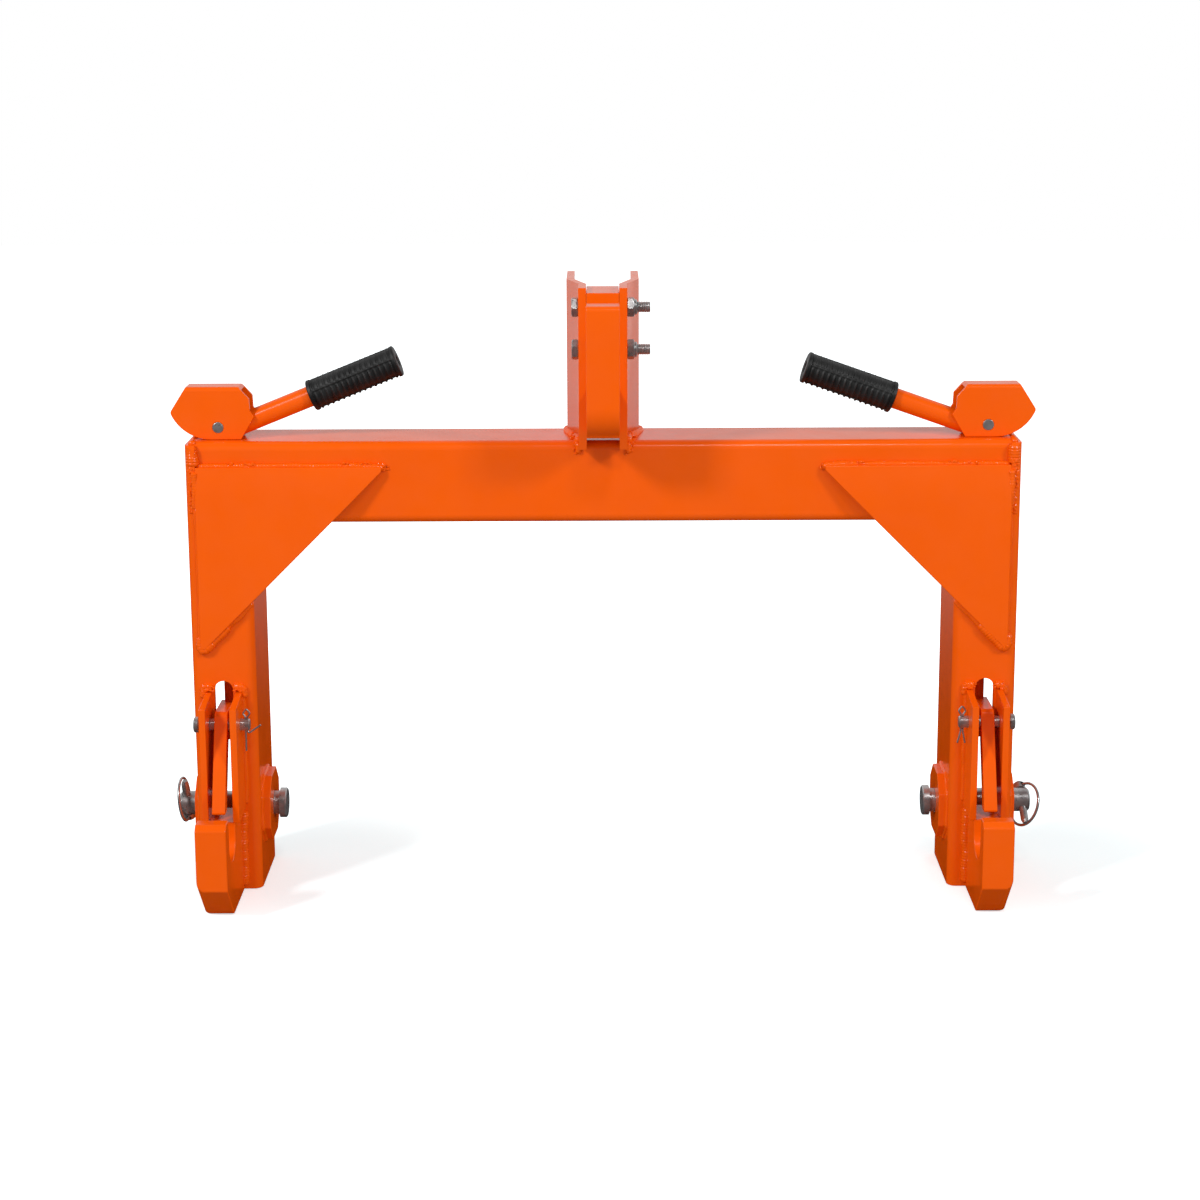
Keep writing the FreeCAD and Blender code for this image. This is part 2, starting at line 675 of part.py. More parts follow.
def cotter(side):
    """Split pin: two legs through the latch pin and a round eye above it."""
    wire = number("cotter_wire")
    above = number("latch_pin_size / 2")
    sign = SIDES[side]
    leg_x = wire * 0.55
    eye = wire * 1.9
    top = above + 0.9 * wire + 2 * eye
    bottom = -above - 2 * wire
    if side == "left":
        long_leg = [(leg_x, bottom - 9.5 * wire)]
        short_leg = [(-leg_x, bottom), (sign * 7 * wire - leg_x, bottom + 5 * wire)]
    else:
        long_leg = [(3.4 * leg_x, bottom - 6.5 * wire), (leg_x, bottom)]
        short_leg = [(-leg_x, bottom), (-4 * leg_x, bottom - 6.5 * wire)]
    ring = [(leg_x, above + wire), (eye, (above + top + wire) / 2), (0, top + wire),
            (-eye, (above + top + wire) / 2), (-leg_x, above + wire)]
    points = [Vector(sign * x, 0, z) for x, z in long_leg + ring + short_leg]
    made = subpart("Part::Feature", f"cotter_{side}")
    made.Shape = wire_along(points, wire * 0.75, wire)
    made.Placement.Base = Vector(number(mirrored(side, f"{LATCH} - latch_pin_shift - {PIN_START} + 3.2")),
                                 number(PIVOT), number("pivot_height"))


# ---------------------------------------------------------------- latch and lift rod
ARM_BACK = "(pivot_ahead + rod_behind)"


def latch(side):
    """Bell crank: a locking arm over the throat and a slotted arm back to the lift rod."""
    body = new_body(f"latch_{side}")
    lean = "(latch_throw - latch_bar / 3) / (latch_rise + latch_foot)"
    front_top = "latch_bar / 3"
    arm = "(link_pin_size / 2 + 6)"
    end = f"{ARM_BACK} + {arm} + 4"
    profile = [(f"-({front_top})", "latch_rise"), ("-latch_throw", "-latch_foot"),
               ("-latch_throw + latch_bar", "-latch_foot"),
               (f"-(latch_throw - latch_bar) + {lean} * (latch_foot - latch_rise)", "-latch_rise"),
               (f"{ARM_BACK} - 23", "-latch_rise"), (f"{ARM_BACK} - 9", f"-arm_drop - {arm}"),
               (end, f"-arm_drop - {arm}"),
               (end, f"-arm_drop + {arm} - 3"), (f"{ARM_BACK} - 5", f"-arm_drop + {arm} + 2"),
               ("latch_shoulder", "latch_rise - 5"), ("latch_shoulder - 4", "latch_rise")]
    sketch = sketch_on(body, "YZ_Plane")
    outline(sketch, profile)
    pad(body, sketch, "latch_wall", middle=True)
    dress(body, "Fillet", [("0", f"-({front_top})", "latch_rise")], X_AXIS, "6")
    dress(body, "Fillet", [("0", end, f"-arm_drop - {arm}")], X_AXIS, "5")
    dress(body, "Fillet", [("0", end, f"-arm_drop + {arm} - 3")], X_AXIS, "5")
    dress(body, "Fillet", [("0", "-latch_throw", "-latch_foot"),
                           ("0", "-latch_throw + latch_bar", "-latch_foot")], X_AXIS, "2")
    bore(body, "YZ_Plane", "0", "0", "latch_pin_size + 2 * running_fit")
    reach = f"sqrt(pow({ARM_BACK}; 2) + pow(arm_drop; 2))"
    short, long = f"{ARM_BACK} - 0.8", f"{reach} + 1.6"
    slope = f"(arm_drop / {ARM_BACK})"
    half = "(link_pin_size / 2 + link_slot_play)"
    fall = f"atan({slope})"
    slot = []
    for along, across in ((short, f"-{half}"), (long, f"-{half}"), (long, half), (short, half)):
        slot.append((f"({along}) * cos({fall}) + ({across}) * sin({fall})",
                     f"-({along}) * sin({fall}) + ({across}) * cos({fall})"))
    cut(body, "YZ_Plane", slot)
    sketch = sketch_on(body, "YZ_Plane")
    circle(sketch, f"({short}) * cos({fall})", f"-({short}) * sin({fall})", f"2 * {half}")
    pocket(body, sketch)
    sketch = sketch_on(body, "YZ_Plane")
    circle(sketch, f"({long}) * cos({fall})", f"-({long}) * sin({fall})", f"2 * {half}")
    pocket(body, sketch)
    place(body, mirrored(side, LATCH), PIVOT, "pivot_height")


LINK = "(pivot_height - arm_drop)"


def lift_rod(side):
    """Rod with an eye on the cam pin above the beam and a yoke on the latch's arm below."""
    body = new_body(f"lift_rod_{side}")
    sketch = sketch_on(body, "XY_Plane", f"yoke_top - yoke_wall")
    circle(sketch, "0", "0", "rod_size")
    pad(body, sketch, f"{CAM_PIN} - (yoke_top - yoke_wall) - rod_eye_size / 2 + 1.5")
    sketch = sketch_on(body, "XZ_Plane")
    circle(sketch, "0", CAM_PIN, "rod_eye_size")
    pad(body, sketch, "rod_eye_wall", middle=True)
    bore(body, "XZ_Plane", "0", CAM_PIN, "cam_pin_size + 2 * running_fit")
    inside = "(latch_wall / 2 + yoke_play)"
    outside = f"({inside} + yoke_wall)"
    foot = f"{LINK} - link_pin_size / 2 - 5"
    yoke = [(f"-{outside}", foot), (f"-{inside}", foot), (f"-{inside}", "yoke_top - 2 * yoke_wall"),
            (inside, "yoke_top - 2 * yoke_wall"), (inside, foot), (outside, foot),
            (outside, "yoke_top"), (f"-{outside}", "yoke_top")]
    sketch = sketch_on(body, "XZ_Plane")
    outline(sketch, yoke)
    pad(body, sketch, "yoke_depth", middle=True)
    bore(body, "YZ_Plane", "0", LINK, "link_pin_size + 2 * running_fit")
    place(body, mirrored(side, LATCH), ROD, "0")


def link_pin(side):
    """Riveted pin through the yoke and the latch's slotted arm."""
    half = "(latch_wall / 2 + yoke_play + yoke_wall)"
    head = "link_pin_size / 4"
    radius = "link_pin_size / 2"
    profile = [(f"-{half} - {head}", "0"), (f"-{half} - {head}", radius),
               (f"-{half}", f"{radius} + {head}"), (f"-{half}", radius), (half, radius),
               (half, f"{radius} + {head}"), (f"{half} + {head}", radius), (f"{half} + {head}", "0")]
    body = turned_along_x(f"link_pin_{side}", profile)
    place(body, mirrored(side, LATCH), ROD, LINK)


# ---------------------------------------------------------------- cam handles
def cam_bracket(side):
    """Folded cover: two cheeks with the cam's outline, joined along the top."""
    body = new_body(f"cam_bracket_{side}")
    inward = -SIDES[side]
    outer = [("20.7", "-cam_flat"), ("-6.5", "-cam_flat"), ("-cam_nose", "cam_nose_rise"),
             ("-28.4", "cam_height"), ("19.3", "cam_height"), ("28.8", "cam_height - 10.7"),
             ("29.3", "15.5"), ("33", "9.7")]
    sketch = sketch_on(body, "XZ_Plane")
    outline(sketch, [(f"{inward} * ({x})", y) for x, y in outer], {1: f"{-inward} * cam_radius"})
    pad(body, sketch, "cam_width", middle=True)
    dress(body, "Fillet", [(f"{-inward} * cam_nose", "0", "cam_nose_rise")], Y_AXIS, "4")
    edge = "cam_width / 2"
    dress(body, "Fillet", [("0", edge, "cam_height"), ("0", f"-{edge}", "cam_height")], X_AXIS,
          "cam_wall + 1")
    hollow = "(cam_width / 2 - cam_wall)"
    cut(body, "YZ_Plane", [(f"-{hollow}", "-2 * cam_flat"), (hollow, "-2 * cam_flat"),
                           (hollow, "cam_height - cam_wall"), (f"-{hollow}", "cam_height - cam_wall")])
    bore(body, "XZ_Plane", "0", "0", "cam_pin_size + 2 * running_fit")
    place(body, mirrored(side, LATCH), ROD, CAM_PIN)


def handle_turn(side):
    """Turn about Y that lays a piece's own Z axis along the handle's tube."""
    return f"{-SIDES[side]} * (90 - rise_{side})"


def handle_tube(side):
    body = new_body(f"handle_tube_{side}")
    sketch = sketch_on(body, "XY_Plane", "tube_start")
    circle(sketch, "0", "0", TUBE)
    circle(sketch, "0", "0", f"{TUBE} - 2 * tube_wall")
    pad(body, sketch, "tube_end - tube_start")
    place(body, mirrored(side, LATCH), ROD, f"{CAM_PIN} - tube_below", Y_AXIS, handle_turn(side))


def grip(side):
    """Rubber grip over the tube: a sleeve with sharp ribs, a collar at each end and a holed cap."""
    body = new_body(f"grip_{side}")
    hole = f"{TUBE} / 2 + running_fit"
    end = "grip_start + grip_length"
    inner_end = f"{end} - grip_end_wall"
    sleeve = [(hole, "grip_start"), ("grip_rib_size / 2", "grip_start"),
              ("grip_rib_size / 2", "grip_start + grip_collar"),
              ("grip_size / 2", "grip_start + grip_collar"), ("grip_size / 2", f"{end} - grip_collar"),
              ("grip_rib_size / 2", f"{end} - grip_collar"), ("grip_rib_size / 2", f"{end} - 0.8"),
              ("grip_rib_size / 2 - 0.8", end), ("grip_hole / 2", end), ("grip_hole / 2", inner_end),
              (hole, inner_end)]
    sketch = sketch_on(body, "XZ_Plane")
    outline(sketch, sleeve)
    revolve(body, sketch, "V_Axis")
    pitch = "((grip_length - 2 * grip_collar) / (grip_rib_count + 1))"
    first = f"(grip_start + grip_collar + {pitch} - grip_rib_wall / 2)"
    last = f"{first} + grip_rib_wall"
    root = "grip_size / 2 - 0.5"
    ring = [(root, first), ("grip_size / 2", first), ("grip_rib_size / 2", f"{first} + grip_rib_wall / 2"),
            ("grip_size / 2", last), (root, last)]
    sketch = sketch_on(body, "XZ_Plane")
    outline(sketch, ring)
    rib = revolve(body, sketch, "V_Axis")
    pattern = body.newObject("PartDesign::LinearPattern", f"{body.Name}_ribs")
    pattern.Originals = [rib]
    pattern.Direction = (sketch, ["V_Axis"])
    pattern.Occurrences = int(SIZES["grip_rib_count"])
    bind(pattern, "Length", f"{pitch} * (grip_rib_count - 1)")
    body.Tip = pattern
    place(body, mirrored(side, LATCH), ROD, f"{CAM_PIN} - tube_below", Y_AXIS, handle_turn(side))


def cam_pin(side):
    """Pin through both cheeks and the rod's eye."""
    body = new_body(f"cam_pin_{side}")
    sketch = sketch_on(body, "XZ_Plane")
    circle(sketch, "0", "0", "cam_pin_size")
    pad(body, sketch, "cam_width + 1", middle=True)
    place(body, mirrored(side, LATCH), ROD, CAM_PIN)


# ---------------------------------------------------------------- hitch pins
HITCH_HEAD = f"({INNER} - boss_wall - hitch_pin_gap)"
HITCH_END = f"({OUTER} + outer_boss_wall + hitch_pin_end)"
LINCH = f"({HITCH_END} - linch_from_end)"


def hitch_pin(side):
    """Lower link pin: head inside the leg, cross hole for the linch pin outside it."""
    radius = "hitch_pin_size / 2"
    bevel = "hitch_pin_size / 12"
    head = "hitch_head_size / 2"
    inner = f"({HITCH_HEAD} - hitch_head_wall)"
    outer = [(inner, "0"), (inner, f"{head} - 1"), (f"{inner} + 1", head), (HITCH_HEAD, head),
             (HITCH_HEAD, radius), (f"{HITCH_END} - {bevel}", radius),
             (HITCH_END, f"{radius} - {bevel}"), (HITCH_END, "0")]
    corners = [(mirrored(side, x), y) for x, y in outer]
    body = turned_along_x(f"hitch_pin_{side}", corners)
    bore(body, "XY_Plane", mirrored(side, LINCH), "0", "linch_size + 2 * loose_fit")
    place(body, "0", HITCH_PIN, "hitch_pin_height", X_AXIS, f"linch_turn_{side}")


def linch_pin(side):
    """Linch pin: a tapered shank under a flat-sided head that the ring swings in."""
    body = new_body(f"linch_pin_{side}")
    radius = "linch_size / 2"
    seat = "hitch_pin_size / 2 + 0.3"
    head = "linch_head_size / 2"
    profile = [("0", "-linch_below"), (f"{radius} * 0.6", "-linch_below"),
               (radius, "-linch_below + 4"), (radius, seat), (head, seat),
               (head, "linch_above - 2.5"), (f"{head} - 2.5", "linch_above"), ("0", "linch_above")]
    sketch = sketch_on(body, "XZ_Plane")
    outline(sketch, profile)
    revolve(body, sketch, "V_Axis")
    bore(body, "XZ_Plane", "0", "ring_pivot", "ring_wire + 2.3")
    body.Placement = linch_place(side)


def linch_place(side):
    """The linch pin's own frame: its shank down Z, turned with the hitch pin and yawed on it."""
    sign = SIDES[side]
    turn = Rotation(X_AXIS, number(f"linch_turn_{side}"))
    yaw = Rotation(Z_AXIS, sign * number(f"ring_yaw_{side}"))
    spot = Vector(sign * number(LINCH), number(HITCH_PIN), number("hitch_pin_height"))
    return Placement(spot, turn * yaw)


def linch_ring(side):
    """Round wire ring, hinged in the linch pin's head and leaning outward round its shank."""
    made = subpart("Part::Torus", f"linch_ring_{side}")
    bind(made, "Radius1", "ring_radius")
    bind(made, "Radius2", "ring_wire / 2")
    sign = SIDES[side]
    tilt = math.radians(number("ring_tilt"))
    radius = number("ring_radius")
    centre = Vector(sign * radius * math.sin(tilt), 0, number("ring_pivot") - radius * math.cos(tilt))
    lean = Rotation(Y_AXIS, sign * (90 - number("ring_tilt")))
    made.Placement = linch_place(side) * Placement(centre, lean)


# ---------------------------------------------------------------- assembly
crossbeam()
for side in SIDES:
    leg(side)
    gusset(side)
    lower_hook(side)
    mast_plate(side)
    for place_name, outward in (("inner", -1), ("outer", 1)):
        latch_ear(side, place_name, outward)
        pin_boss(side, place_name, outward)
    latch_pin(side)
    cotter(side)
    latch(side)
    lift_rod(side)
    link_pin(side)
    cam_bracket(side)
    cam_pin(side)
    handle_tube(side)
    grip(side)
    hitch_pin(side)
    linch_pin(side)
    linch_ring(side)
top_hook()
bolt_set("top_hook_bolts", one_bolt)
bolt_set("top_hook_nuts", one_nut)
doc.recompute()

faults = [item.Name for item in doc.Objects if {"Invalid", "Error"} & set(item.State)]
faults += [item.Label for item in subparts if item.Shape.isNull() or not item.Shape.isValid()]
if faults:
    raise RuntimeError(f"could not be built: {faults}")

os.makedirs("parts", exist_ok=True)
for item in subparts:
    item.Shape.exportStep(f"parts/{item.Label}.step")
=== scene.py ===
"""Looks of the three point quick hitch: powder coat, zinc hardware, rubber grips, welds and threads.

Metres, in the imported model's frame: +X to the right, -Y towards the implement, +Z up.
"""

import bmesh
import bpy
import json
import math
import random
from mathutils import Matrix, Vector, noise
import numpy as np

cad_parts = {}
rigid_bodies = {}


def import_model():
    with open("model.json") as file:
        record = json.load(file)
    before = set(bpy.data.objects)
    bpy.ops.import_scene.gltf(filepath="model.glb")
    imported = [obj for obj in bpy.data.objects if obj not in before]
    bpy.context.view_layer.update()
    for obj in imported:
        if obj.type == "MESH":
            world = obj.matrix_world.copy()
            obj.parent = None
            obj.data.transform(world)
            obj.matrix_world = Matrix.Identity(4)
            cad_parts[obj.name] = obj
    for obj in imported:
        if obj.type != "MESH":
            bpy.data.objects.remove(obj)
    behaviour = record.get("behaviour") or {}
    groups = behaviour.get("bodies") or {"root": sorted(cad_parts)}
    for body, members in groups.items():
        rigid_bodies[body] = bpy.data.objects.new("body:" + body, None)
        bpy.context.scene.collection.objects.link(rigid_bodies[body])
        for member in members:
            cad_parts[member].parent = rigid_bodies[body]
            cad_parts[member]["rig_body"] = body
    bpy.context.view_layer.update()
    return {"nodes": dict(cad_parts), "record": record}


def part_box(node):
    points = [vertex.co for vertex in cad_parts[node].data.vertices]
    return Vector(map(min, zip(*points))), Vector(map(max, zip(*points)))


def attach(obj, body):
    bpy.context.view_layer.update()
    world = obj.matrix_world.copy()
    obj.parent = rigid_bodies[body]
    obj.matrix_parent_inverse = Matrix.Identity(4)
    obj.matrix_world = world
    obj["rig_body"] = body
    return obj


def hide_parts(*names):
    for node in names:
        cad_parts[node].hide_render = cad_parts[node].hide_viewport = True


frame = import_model()

MM = 0.001
SIDES = {"left": -1, "right": 1}


# ---------------------------------------------------------------- materials
def new_material(name):
    made = bpy.data.materials.new(name)
    made.use_nodes = True
    tree = made.node_tree
    return made, tree, tree.nodes["Principled BSDF"]


def noise_node(tree, scale, detail=3.0):
    place = tree.nodes.new("ShaderNodeTexCoord")
    made = tree.nodes.new("ShaderNodeTexNoise")
    made.inputs["Scale"].default_value = scale
    made.inputs["Detail"].default_value = detail
    tree.links.new(place.outputs["Object"], made.inputs["Vector"])
    return made.outputs["Fac"]


def ramp(tree, factor, low, high, start=0.3, end=0.7):
    made = tree.nodes.new("ShaderNodeValToRGB")
    made.color_ramp.elements[0].position = start
    made.color_ramp.elements[1].position = end
    made.color_ramp.elements[0].color = low
    made.color_ramp.elements[1].color = high
    tree.links.new(factor, made.inputs["Fac"])
    return made.outputs["Color"]


def grey(value):
    return (value, value, value, 1)


def bump(tree, shader, height, distance):
    made = tree.nodes.new("ShaderNodeBump")
    made.inputs["Distance"].default_value = distance
    made.inputs["Strength"].default_value = 1.0
    tree.links.new(height, made.inputs["Height"])
    tree.links.new(made.outputs["Normal"], shader.inputs["Normal"])


def finish(name, tones, tone_scale, roughness, rough_scale, grain_scale, grain_detail, grain):
    """A material whose tone and roughness drift between two values, over a fine grain."""
    made, tree, shader = new_material(name)
    tree.links.new(ramp(tree, noise_node(tree, tone_scale), *tones), shader.inputs["Base Color"])
    rough = ramp(tree, noise_node(tree, rough_scale), *[grey(value) for value in roughness])
    tree.links.new(rough, shader.inputs["Roughness"])
    bump(tree, shader, noise_node(tree, grain_scale, grain_detail), grain)
    return made, shader


def powder_coat():
    """Glossy orange powder coat with a slight orange peel."""
    made, shader = finish("orange_powder_coat", tones=((0.89, 0.106, 0.0005, 1), (0.92, 0.114, 0.0012, 1)),
                          tone_scale=14, roughness=(0.17, 0.24), rough_scale=45,
                          grain_scale=420, grain_detail=2, grain=0.04 * MM)
    shader.inputs["Specular IOR Level"].default_value = 0.36
    return made


def zinc():
    """Bright zinc plate, a little uneven."""
    made, shader = finish("zinc_plate", tones=(grey(0.40), grey(0.62)), tone_scale=120,
                          roughness=(0.24, 0.38), rough_scale=260,
                          grain_scale=900, grain_detail=2, grain=0.02 * MM)
    shader.inputs["Metallic"].default_value = 0.78
    return made


def rubber():
    """Moulded black rubber with a fine grain."""
    made, shader = finish("grip_rubber", tones=(grey(0.008), grey(0.017)), tone_scale=90,
                          roughness=(0.42, 0.60), rough_scale=60,
                          grain_scale=1400, grain_detail=3, grain=0.05 * MM)
    shader.inputs["Specular IOR Level"].default_value = 0.45
    return made


ORANGE, ZINC, RUBBER = powder_coat(), zinc(), rubber()
SLOT_LOOKS = {"orange_paint": ORANGE, "zinc_steel": ZINC, "grip_rubber": RUBBER}


# ---------------------------------------------------------------- building helpers
def add_piece(name, bm, slot, body, replaced=None, smooth_angle=35):
    """Turns a mesh under construction into a piece that rides on a body."""
    mesh = bpy.data.meshes.new(name)
    bm.normal_update()
    bm.to_mesh(mesh)
    bm.free()
    mesh.shade_smooth()
    mesh.set_sharp_from_angle(angle=math.radians(smooth_angle))
    mesh.materials.append(SLOT_LOOKS[slot])
    made = bpy.data.objects.new(name, mesh)
    bpy.context.scene.collection.objects.link(made)
    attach(made, body)
    if replaced:
        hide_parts(replaced)
    return made


def node_body(node):
    return frame["nodes"][node]["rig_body"]


def softened(node, slot, width, segments=3, angle=32):
    """The CAD node as clean faces with its hard edges rounded over."""
    bm = bmesh.new()
    bm.from_mesh(frame["nodes"][node].data)
    bmesh.ops.remove_doubles(bm, verts=bm.verts, dist=1e-6)
    bmesh.ops.dissolve_limit(bm, angle_limit=math.radians(0.6), verts=bm.verts, edges=bm.edges)
    hard = [e for e in bm.edges if e.is_manifold and e.calc_face_angle(0) > math.radians(angle)]
    bmesh.ops.bevel(bm, geom=hard, offset=width, segments=segments, profile=0.5,
                    affect="EDGES", clamp_overlap=True, miter_outer="ARC")
    made = add_piece(f"{node}_finished", bm, slot, node_body(node), node)
    weighted = made.modifiers.new("flat_faces", "WEIGHTED_NORMAL")
    weighted.keep_sharp = True
    weighted.weight = 60
    return made


def skin(bm, rings):
    """Four-sided faces between rings of as many points."""
    for one, two in zip(rings, rings[1:]):
        for k in range(len(one)):
            n = (k + 1) % len(one)
            bm.faces.new((one[k], one[n], two[n], two[k]))


def tube_along(bm, points, ring_of):
    """Skins rings of points along a path; ring_of gives each ring from its place and directions."""
    rings = []
    for index, point in enumerate(points):
        before = points[max(index - 1, 0)]
        after = points[min(index + 1, len(points) - 1)]
        along = (after - before).normalized()
        side = along.orthogonal() if index == 0 else side - along * side.dot(along)
        side = side.normalized()
        rings.append([bm.verts.new(p) for p in ring_of(index, point, side, along.cross(side))])
    skin(bm, rings)
    bm.faces.new(list(reversed(rings[0])))
    bm.faces.new(rings[-1])


def resample(path, step):
    """Even points along a broken line."""
    out = [path[0].copy()]
    for a, b in zip(path, path[1:]):
        count = max(1, round((b - a).length / step))
        out += [a.lerp(b, (k + 1) / count) for k in range(count)]
    return out


BEAD_STEP = 0.8 * MM
RIPPLE, RIPPLE_TURN = 0.16, 0.95    # height as a share of the radius, and radians a step
WANDER, WANDER_SCALE = 0.25, 90     # the same for slow changes of size
DRIFT, DRIFT_SCALE = 0.25, 60       # and for the line's drift off its path
BEAD_SIDES = 10


def bead(bm, path, radius, seed):
    """A weld bead: overlapping ripples along a joint, a little uneven in size and line."""
    points = resample(path, BEAD_STEP)
    shift = Vector((seed * 7.3, seed * 3.1, seed * 1.7))
    count = len(points)

    def ring(index, point, side, up):
        size = radius * (1 + WANDER * noise.noise(point * WANDER_SCALE + shift))
        size *= 1 + RIPPLE * (abs(math.sin(index * RIPPLE_TURN + seed)) - 0.5)
        end = min(index, count - 1 - index)
        size *= min(1, 0.45 + 0.25 * end)
        aside = side * noise.noise(point * DRIFT_SCALE + shift * 2)
        centre = point + (aside + up * noise.noise(point * DRIFT_SCALE - shift)) * radius * DRIFT
        return [centre + (side * math.cos(a) + up * math.sin(a)) * size
                for a in (2 * math.pi * k / BEAD_SIDES for k in range(BEAD_SIDES))]

    tube_along(bm, points, ring)


# ---------------------------------------------------------------- painted steel and plain hardware
BEVELS = {
    "crossbeam": 0.4, "leg": 0.8, "gusset": 0.9, "lower_hook": 1.2, "latch_ear": 0.7, "pin_boss": 0.9,
    "mast_plate": 0.8, "top_hook": 1.5, "cam_bracket": 0.5, "latch": 0.8, "lift_rod": 0.4,
    "handle_tube": 0.4, "latch_pin": 0.4, "hitch_pin": 0.6, "linch_pin": 0.6, "cam_pin": 0.6,
    "link_pin": 0.5,
}
MADE_HERE = {"top_hook_bolts", "top_hook_nuts", "grip_left", "grip_right"}
SLOTS = {entry["node"]: entry["material_slot"] for entry in frame["record"]["subparts"]}

for node, slot in SLOTS.items():
    stem = node.removesuffix("_left").removesuffix("_right").removesuffix("_inner").removesuffix("_outer")
    if node in MADE_HERE:
        continue
    if stem in BEVELS:
        softened(node, slot, BEVELS[stem] * MM)
    else:
        materials = frame["nodes"][node].data.materials
        materials.clear()
        materials.append(SLOT_LOOKS[slot])


# ---------------------------------------------------------------- bolts and lock nuts
def lathe(bm, profile, place, steps=32):
    """Turns (along, radius) corners about X and moves the result to its place."""
    rings = []
    for along, radius in profile:
        if radius < 1e-6:
            rings.append([bm.verts.new(place @ Vector((along, 0, 0)))])
            continue
        ring = []
        for k in range(steps):
            a = 2 * math.pi * k / steps
            ring.append(bm.verts.new(place @ Vector((along, radius * math.cos(a), radius * math.sin(a)))))
        rings.append(ring)
    for one, two in zip(rings, rings[1:]):
        for k in range(steps):
            n = (k + 1) % steps
            corners = []
            for vert in (one[k % len(one)], one[n % len(one)], two[n % len(two)], two[k % len(two)]):
                if vert not in corners:
                    corners.append(vert)
            if len(corners) > 2:
                bm.faces.new(corners)


HEX_STEPS = 48
HEX_FLAT = 0.95                     # a chamfer's inner end as a share of the flats
CHAMFER_STEPS = (0.0, 0.4, 0.7, 1.0)


def hexagon(bm, start, end, across, place, chamfer, bore=None):
    """A hexagon along X with its corners turned away at both ends, and maybe a bore."""
    angles = [2 * math.pi * k / HEX_STEPS for k in range(HEX_STEPS)]
    corner = across / 2 / math.cos(math.pi / 6)
    inside = across / 2 * HEX_FLAT

    def hexed(angle):
        return across / 2 / math.cos((angle + math.pi / 6) % (math.pi / 3) - math.pi / 6)

    def ring(along, radius_of):
        return [bm.verts.new(place @ Vector((along, radius_of(a) * math.cos(a), radius_of(a) * math.sin(a))))
                for a in angles]

    ends = [(start + chamfer * t, t) for t in CHAMFER_STEPS]
    ends += [(end - chamfer * t, t) for t in reversed(CHAMFER_STEPS)]
    layers = [ring(along, lambda a, t=t: min(hexed(a), inside + (corner - inside) * t)) for along, t in ends]
    skin(bm, layers)
    if bore is None:
        bm.faces.new(list(reversed(layers[0])))
        bm.faces.new(layers[-1])
        return
    holes = [ring(along, lambda a: bore) for along in (start, end)]
    skin(bm, [holes[0], layers[0]])
    skin(bm, [layers[-1], holes[1]])
    skin(bm, [holes[1], holes[0]])


def screw(bm, start, end, radius, pitch, place):
    """Threaded length along X: one helical groove, closed at both ends."""
    steps, per_turn = 24, 12
    depth = pitch * THREAD_DEPTH
    rows = int((end - start) / pitch * per_turn)
    rings = []
    for i in range(rows + 1):
        along = start + (end - start) * i / rows
        ring = []
        for k in range(steps):
            a = 2 * math.pi * k / steps
            phase = ((along - start) / pitch - k / steps) % 1
            cut = 1 - abs(2 * phase - 1)
            taper = min(1, (end - along) / (pitch * 0.8) * 0.5 + 0.5)
            size = (radius - depth * max(0, cut - CREST)) * (1 - POINT * (1 - taper))
            ring.append(bm.verts.new(place @ Vector((along, size * math.cos(a), size * math.sin(a)))))
        rings.append(ring)
    skin(bm, rings)
    bm.faces.new(list(reversed(rings[0])))
    bm.faces.new(rings[-1])


BOLT_RADIUS = 5.0 * MM
BOLT_PITCH = 1.5 * MM
THREAD_DEPTH, CREST = 0.55, 0.15    # shares of the pitch
POINT = 0.06                       # how far the thread's end is turned in, as a share of the radius
ACROSS = 16.0 * MM
HEAD_WALL = 6.2 * MM
COLLAR = 0.72                      # share of the lock nut's length that is hexagonal

bolt_low, bolt_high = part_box("top_hook_bolts")
nut_low, nut_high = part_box("top_hook_nuts")
bolt_y = (bolt_low.y + bolt_high.y) / 2
half_corner = ACROSS / 2 / math.cos(math.pi / 6)
bolt_places = [Matrix.Translation((0, bolt_y, height)) @ Matrix.Rotation(turn, 4, "X")
               for height, turn in ((bolt_low.z + half_corner, 0.1), (bolt_high.z - half_corner, 0.55))]

bm = bmesh.new()
for place in bolt_places:
    head_end = bolt_low.x + HEAD_WALL
    hexagon(bm, bolt_low.x, head_end, ACROSS, place, 1.1 * MM)
    lathe(bm, [(head_end, 0), (head_end, BOLT_RADIUS), (nut_low.x - 1 * MM, BOLT_RADIUS),
               (nut_low.x - 1 * MM, 0)], place)
    screw(bm, nut_low.x - 1 * MM, bolt_high.x, BOLT_RADIUS, BOLT_PITCH, place)
add_piece("top_hook_bolts_threaded", bm, "zinc_steel", "frame", "top_hook_bolts")

bm = bmesh.new()
for place in bolt_places:
    wall = nut_high.x - nut_low.x
    collar_start = nut_low.x + wall * COLLAR
    hexagon(bm, nut_low.x, collar_start, ACROSS, place, 0.9 * MM, BOLT_RADIUS + 0.05 * MM)
    collar = ACROSS * 0.43
    lathe(bm, [(collar_start, BOLT_RADIUS + 0.05 * MM), (collar_start, collar),
               (nut_high.x - 0.9 * MM, collar), (nut_high.x - 0.2 * MM, collar - 0.7 * MM),
               (nut_high.x, collar - 1.3 * MM), (nut_high.x, BOLT_RADIUS + 0.05 * MM),
               (collar_start, BOLT_RADIUS + 0.05 * MM)], place)
add_piece("top_hook_nuts_locking", bm, "zinc_steel", "frame", "top_hook_nuts")


